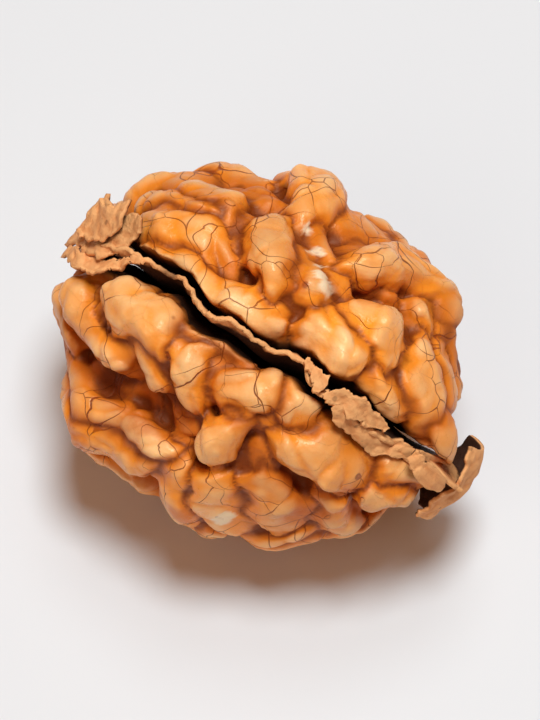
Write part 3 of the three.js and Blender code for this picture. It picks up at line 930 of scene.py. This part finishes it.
def fill_skin(graph, settings, groups):
    """The kernel's veined skin."""
    place = graph.add("ShaderNodeTexCoord").outputs["Object"]
    crease, hollow, seam = (graph.attribute(name) for name in ("crease", "hollow", "seam"))
    clouds = effect(graph, groups["mottle"], place, Scale=SKIN_CLOUDS)
    blotches = effect(graph, groups["mottle"], place, Scale=SKIN_BLOTCHES)
    veins = effect(graph, groups["veins"], place)
    specks = effect(graph, groups["specks"], place, Scale=SKIN_SPECKS, Sparse=0.9)

    # Painted highlight on the crests of the folds over golden sides, clouded, with tanned patches, veins and
    # specks
    crest = graph.maths("MULTIPLY_ADD", clouds, 0.5, 0.45)
    crest = graph.maths("MULTIPLY", graph.span(hollow, *CREST_BENT), crest)
    colour = graph.mixed(crest, (*settings.flesh_colour, 1), (*settings.crest_highlight_colour, 1))
    tint = graph.mixed(blotches, (*settings.blotch_tint, 1), BLOTCH_LIGHT)
    colour = graph.mixed(1.0, colour, tint, "MULTIPLY")
    colour = graph.laid(colour, graph.attribute("tanned"), TANNED_SHARE, settings.tanned_colour)
    colour = graph.laid(colour, veins, VEIN_SHARE, settings.vein_colour)
    colour = graph.laid(colour, specks, SPECK_SHARE, settings.vein_colour)

    # Painted shade towards the seams, in the low parts and in the hollows, darkest along the seams themselves
    low = graph.span(graph.attribute("height"), *SUNK_HEIGHT)
    sunk_shade = graph.maths("MAXIMUM", low, graph.span(seam, *SUNK_FROM_SEAM))
    colour = graph.laid(colour, sunk_shade, SUNK_SHARE, settings.sunk_shade_colour)
    # Painted shade in the creases and hollows and along the seams
    line = graph.maths("MULTIPLY", graph.span(crease, *CREASE_BENT), 0.75)
    dark = graph.maths("MAXIMUM", graph.span(hollow, *HOLLOW_BENT), line)
    cloudy = graph.maths("MULTIPLY_ADD", clouds, 0.4, 0.6)
    stripe = graph.maths("MULTIPLY", graph.span(seam, *STRIPE_FROM_SEAM), cloudy)
    dark = graph.maths("MAXIMUM", dark, stripe)
    colour = graph.laid(colour, dark, CREASE_SHARE, settings.crease_shade_colour)
    colour = graph.laid(colour, graph.attribute("peeled"), PEELED_SHARE, settings.peeled_colour)
    # Painted shade, near black, inside the fissure
    colour = graph.laid(colour, graph.attribute("inner"), 1.0, settings.fissure_shade_colour)

    # Sunken veins in a finely wrinkled skin
    fine = graph.noise(place, SKIN_PORES, 4.0, 0.6)
    wrinkle = graph.noise(place, SKIN_WRINKLES, 5.0, 0.6)
    relief = graph.maths("MULTIPLY_ADD", veins, -0.35, graph.maths("MULTIPLY", wrinkle, 0.8))
    relief = graph.maths("MULTIPLY_ADD", fine, 0.25, relief)
    bump = graph.add("ShaderNodeBump", {"Height": relief, "Strength": 0.85, "Distance": 0.00028})
    rough = graph.span(graph.noise(place, SKIN_GLOSS), 0.3, 0.7, 0.24, 0.42)
    return graph.add("ShaderNodeBsdfPrincipled", {
        "Base Color": colour,
        "Roughness": graph.maths("MULTIPLY_ADD", sunk_shade, 0.25, rough),
        "Normal": bump.outputs[0],
        "Subsurface Weight": 0.12,
        "Subsurface Radius": (1.0, 0.45, 0.18),
        "Subsurface Scale": 0.0008,
        "Specular IOR Level": 0.45,
        "Specular Tint": (1.0, 0.8, 0.6, 1.0),
    })


def fill_paper(graph, settings, groups):
    """The partition's dry paper."""
    place = graph.add("ShaderNodeTexCoord").outputs["Object"]
    clouds = effect(graph, groups["mottle"], place, Scale=PAPER_CLOUDS)
    stains = effect(graph, groups["mottle"], place, Scale=PAPER_STAINS)
    specks = effect(graph, groups["specks"], place, Scale=PAPER_SPECKS, Sparse=0.85)

    # Painted highlight on its ridges and painted shade in its folds, stained and specked, and painted shade
    # inside the fissure and where it faces the flesh
    lit = graph.maths("MULTIPLY_ADD", graph.span(graph.attribute("ridge"), *RIDGE_BENT), 0.6, 0.4)
    lit = graph.maths("MULTIPLY", lit, graph.maths("MULTIPLY_ADD", clouds, 0.4, 0.65))
    colour = graph.mixed(lit, (*settings.fold_shade_colour, 1), (*settings.lit_colour, 1))
    colour = graph.laid(colour, stains, STAIN_SHARE, settings.stain_colour)
    low = graph.span(graph.attribute("height"), *INSIDE_HEIGHT)
    inside = graph.maths("MAXIMUM", low, graph.span(graph.attribute("inward"), *INSIDE_FACING))
    colour = graph.laid(colour, inside, 1.0, settings.fissure_shade_colour)
    colour = graph.laid(colour, specks, DOT_SHARE, settings.speck_colour)
    fibre = graph.noise(place, PAPER_FIBRES, 5.0, 0.65)
    bump = graph.add("ShaderNodeBump", {"Height": fibre, "Strength": 0.9, "Distance": 0.0003})
    return graph.add("ShaderNodeBsdfPrincipled", {
        "Base Color": colour,
        "Roughness": 0.75,
        "Normal": bump.outputs[0],
        "Specular IOR Level": 0.3,
    })


def material_for(name, fill, settings):
    """A material, made on first use by fill(graph, settings, groups), which returns its shader."""
    if name in bpy.data.materials:
        return bpy.data.materials[name]
    material = bpy.data.materials.new(name)
    material.use_nodes = True
    graph = Graph(material.node_tree)
    shader = fill(graph, settings, make_groups())
    graph.add("ShaderNodeOutputMaterial", {"Surface": shader.outputs[0]})
    return material


def lifted(points, edges, clear):
    """Points of the frame brought out along their rays until they stand clear of the kernel's flesh."""
    flesh = BVHTree.FromObject(bpy.data.objects["kernel_flesh"], bpy.context.evaluated_depsgraph_get())
    middle = Vector(PLAN_ORIGIN * MM)
    rays = points - np.array(middle)
    reach = np.linalg.norm(rays, axis=1)
    rays /= reach[:, None]
    short = np.zeros(len(points))
    for i, ray in enumerate(rays):
        hit = flesh.ray_cast(middle + Vector(ray) * OUTSIDE, -Vector(ray))[0]
        if hit:
            short[i] = max(0.0, (hit - middle).length + clear - reach[i])
    lift = np.maximum(short, eased(short, edges, LIFT_ROUNDS))
    return points + rays * lift[:, None]


def paper_sheet(columns, rows, thickness, place, clear=None):
    """A thin sheet in the frame whose middle surface in the plan is place(u, v), for u and v from 0 to 1."""
    bpy.ops.mesh.primitive_grid_add(x_subdivisions=columns, y_subdivisions=rows, size=1)
    sheet = bpy.context.object
    flat = corners(sheet)
    points = into_frame(place(flat[:, 0] + 0.5, flat[:, 1] + 0.5))
    if clear is not None:
        points = lifted(points, edges_of(sheet), clear * MM)
    place_corners(sheet, points)
    modified(sheet, "WELD", merge_threshold=SAME_CORNER)
    modified(sheet, "SOLIDIFY", thickness=thickness * MM, offset=0.0, use_even_offset=False)
    return sheet


def over_sheet(u, v, layers, seed=0):
    """Layers of noise over a sheet's own measures."""
    return layered(np.column_stack((u, v, np.zeros_like(u))), layers, seed)


def rim_reach(turn):
    """How far the web's rim reaches at an angle round it, 0 at the tip and 90 degrees up the fissure."""
    degrees = np.degrees((turn + math.pi) % (2 * math.pi) - math.pi)
    reach = np.full_like(turn, RIM_SHARE)
    for at, wide, more in RIM_REACHES:
        reach += more * np.exp(-(((degrees - at) / wide) ** 2))
    return reach + over_sheet(np.cos(turn), np.sin(turn), RIM_RAGGED)


def web_place(u, v):
    """The web round the bridge's hole: u goes round it, v from the hole to the rim."""
    turn = 2 * math.pi * u
    reach = rim_reach(turn)
    rim_x = HALF_LENGTH * reach * np.cos(turn)
    rim_z = HALF_DEPTH * reach * np.sin(turn)
    hole_x = BRIDGE_ALONG + (BRIDGE_RADIUS + BRIDGE_CLEARANCE) * np.cos(turn)
    hole_z = BRIDGE_UP + (BRIDGE_RADIUS + BRIDGE_CLEARANCE) * np.sin(turn)
    v = v ** WEB_ROWS_OUT
    x = hole_x + (rim_x - hole_x) * v
    z = hole_z + (rim_z - hole_z) * v
    loose = smoothstep(*WEB_LOOSE, v)
    wave = WEB_LEAN * (1 - 2 * smoothstep(*WEB_LEAN_TURNS, x))
    wave += layered(np.column_stack((x, np.zeros_like(x), z)), WEB_WAVES)
    wave *= 1 - WEB_CALM * smoothstep(*WEB_CALMS, x)
    meander = WEB_MEANDER * np.sin(WEB_MEANDER_UP * z + WEB_MEANDER_ALONG * x)
    return np.column_stack((x, fissure_middle(x) + loose * wave + (1 - loose) * meander, z))


def shred_place(share, seed, stations):
    """A torn shred of the rim: its far and near edges at stations along the kernel."""
    along, far, near = np.array(stations).T

    def place(u, v):
        x = along[0] + (along[-1] - along[0]) * u
        torn = over_sheet(x, SHRED_EDGES_APART * np.sign(v - 0.5), SHRED_TORN, seed)
        low = np.interp(x, along, near) + torn * smoothstep(SHRED_TORN_WIDTH, 0.0, v)
        high = np.interp(x, along, far) + torn * smoothstep(1 - SHRED_TORN_WIDTH, 1.0, v)
        across = low + (high - low) * v
        raised = share + over_sheet(x, across, SHRED_RAISED, seed)
        z = HALF_DEPTH * np.sqrt(np.maximum(0.0, raised ** 2 - (x / HALF_LENGTH) ** 2))
        return np.column_stack((x, fissure_middle(x) + across, z))

    return place


def cup_place(u, v):
    """The curled cap round the tip, like the bowl of a small spoon."""
    across = CUP_NEAR + (CUP_FAR - CUP_NEAR) * u
    narrow = 1 - CUP_NARROWS * (1 - np.sin(math.pi * u))
    top = CUP_TOP + over_sheet(across, np.zeros_like(u), CUP_TORN)
    low = CUP_MIDDLE + (CUP_BOTTOM - CUP_MIDDLE) * narrow
    up = low + (top - low) * v
    aside = across - CUP_ACROSS
    above = np.where(up > CUP_MIDDLE, CUP_CURL_ABOVE, CUP_CURL_BELOW) * (up - CUP_MIDDLE) ** 2
    curl = CUP_CURL_ACROSS * aside ** 2 + above
    crumple = over_sheet(across, up, CUP_CRUMPLED)
    return np.column_stack((CUP_REACH - curl + crumple, across, up))


def model_partition(thickness):
    """All sheets of the paper, in the frame."""
    web = paper_sheet(*WEB_CELLS, thickness, web_place)
    cup = paper_sheet(*CUP_CELLS, thickness, cup_place, CUP_CLEAR)
    shreds = []
    for i, (share, *stations) in enumerate(SHREDS.values()):
        place = shred_place(share, SHRED_SEED + SHRED_SEED_STEP * i, stations)
        shreds.append(paper_sheet(*SHRED_CELLS, thickness, place, SHRED_CLEAR))
    return joined([web, cup, *shreds])


def mark_paper(paper):
    """What the paper's colours and painted light follow: its ridges, for painted highlight, and the side that
    looks at the kernel's middle, for painted shade.
    """
    points = corners(paper)
    out = normals(paper)
    ridge = np.sum((points - eased(points, edges_of(paper), RIDGE_ROUNDS)) * out, axis=1) / MM
    write_attribute(paper, "ridge", ridge)
    towards = PLAN_ORIGIN * MM - points
    towards /= np.linalg.norm(towards, axis=1)[:, None]
    write_attribute(paper, "inward", np.sum(towards * out, axis=1))


class WALNUT_OT_kernel(bpy.types.Operator):
    """Models the two folded halves and gives them their veined skin"""

    bl_idname = "walnut.kernel"
    bl_label = "Kernel"

    def execute(self, context):
        settings = context.scene.walnut_kernel
        flesh = model_kernel(settings)
        carve_skin(flesh, settings)
        settle(flesh)
        material = material_for("walnut_skin", fill_skin, settings)
        hand_over(flesh, "kernel_flesh", "kernel", material)
        return {"FINISHED"}


class WALNUT_OT_partition(bpy.types.Operator):
    """Models the papery partition in the fissure"""

    bl_idname = "walnut.partition"
    bl_label = "Partition"

    def execute(self, context):
        settings = context.scene.walnut_partition
        paper = model_partition(settings.thickness)
        mark_paper(paper)
        settle(paper)
        material = material_for("partition_paper", fill_paper, settings)
        hand_over(paper, "partition_sheets", "partition", material)
        return {"FINISHED"}


def aim(piece, target):
    """Turns a camera or light at its place towards a target."""
    piece.rotation_euler = (target - piece.location).to_track_quat("-Z", "Y").to_euler()


def from_view(azimuth, elevation, distance):
    """A step away from the kernel in the direction of a view, in degrees."""
    turn, rise = math.radians(azimuth), math.radians(elevation)
    return distance * Vector((
        math.sin(turn) * math.cos(rise), -math.cos(turn) * math.cos(rise), math.sin(rise),
    ))


def add_lamp(name, target, round_deg, up_deg, distance, size, power, colour):
    step = from_view(VIEW_AZIMUTH + round_deg, up_deg, distance)
    bpy.ops.object.light_add(type="AREA", location=target + step)
    light = bpy.context.object
    light.name = name
    light.data.energy = power
    light.data.color = colour
    light.data.shape = "DISK"
    light.data.size = size
    aim(light, target)


def add_floor(colour):
    bpy.ops.mesh.primitive_plane_add(size=FLOOR_WIDTH)
    floor = bpy.context.object
    floor.name = "floor"
    material = bpy.data.materials.new("pale_floor")
    material.use_nodes = True
    shader = material.node_tree.nodes["Principled BSDF"]
    shader.inputs["Base Color"].default_value = (*colour, 1)
    shader.inputs["Roughness"].default_value = FLOOR_ROUGHNESS
    floor.data.materials.append(material)


class WALNUT_OT_stage(bpy.types.Operator):
    """Adds the pale floor, the soft lights and the camera at the photograph's viewing angle"""

    bl_idname = "walnut.stage"
    bl_label = "Stage"

    def execute(self, context):
        settings = context.scene.walnut_stage
        low, high = (Vector(corner) for corner in CAD_BOX)
        target = (low + high) / 2
        add_floor(settings.floor_colour)
        step = from_view(VIEW_AZIMUTH, VIEW_ELEVATION, settings.distance)
        bpy.ops.object.camera_add(location=target + step)
        camera = context.object
        camera.data.lens = settings.lens
        camera.data.clip_start = CAMERA_CLIP
        aim(camera, target)
        context.scene.camera = camera
        for name, values in LAMPS.items():
            add_lamp(name, target, *values)
        world = bpy.data.worlds.new("studio")
        world.use_nodes = True
        background = world.node_tree.nodes["Background"].inputs
        background["Color"].default_value = STUDIO_COLOUR
        background["Strength"].default_value = STUDIO_STRENGTH
        context.scene.world = world
        context.scene.view_settings.view_transform = "Standard"
        return {"FINISHED"}


class WALNUT_PT_panel(bpy.types.Panel):
    """Lists the kernel's steps in the sidebar"""

    bl_label = "Walnut Kernel"
    bl_idname = "WALNUT_PT_panel"
    bl_space_type = "VIEW_3D"
    bl_region_type = "UI"
    bl_category = "Walnut"

    def draw(self, context):
        for step in STEPS:
            self.layout.operator(step.bl_idname)


STEPS = (WALNUT_OT_kernel, WALNUT_OT_partition, WALNUT_OT_stage)
GROUPS = {
    "walnut_kernel": KernelSettings,
    "walnut_partition": PartitionSettings,
    "walnut_stage": StageSettings,
}


def register():
    for kind in (*GROUPS.values(), *STEPS, WALNUT_PT_panel):
        bpy.utils.register_class(kind)
    for name, kind in GROUPS.items():
        setattr(bpy.types.Scene, name, PointerProperty(type=kind))


def unregister():
    for name in GROUPS:
        delattr(bpy.types.Scene, name)
    for kind in (WALNUT_PT_panel, *reversed(STEPS), *reversed(GROUPS.values())):
        bpy.utils.unregister_class(kind)


def main():
    register()
    bpy.ops.walnut.kernel()
    bpy.ops.walnut.partition()
    bpy.ops.walnut.stage()


if __name__ == "__main__":
    main()
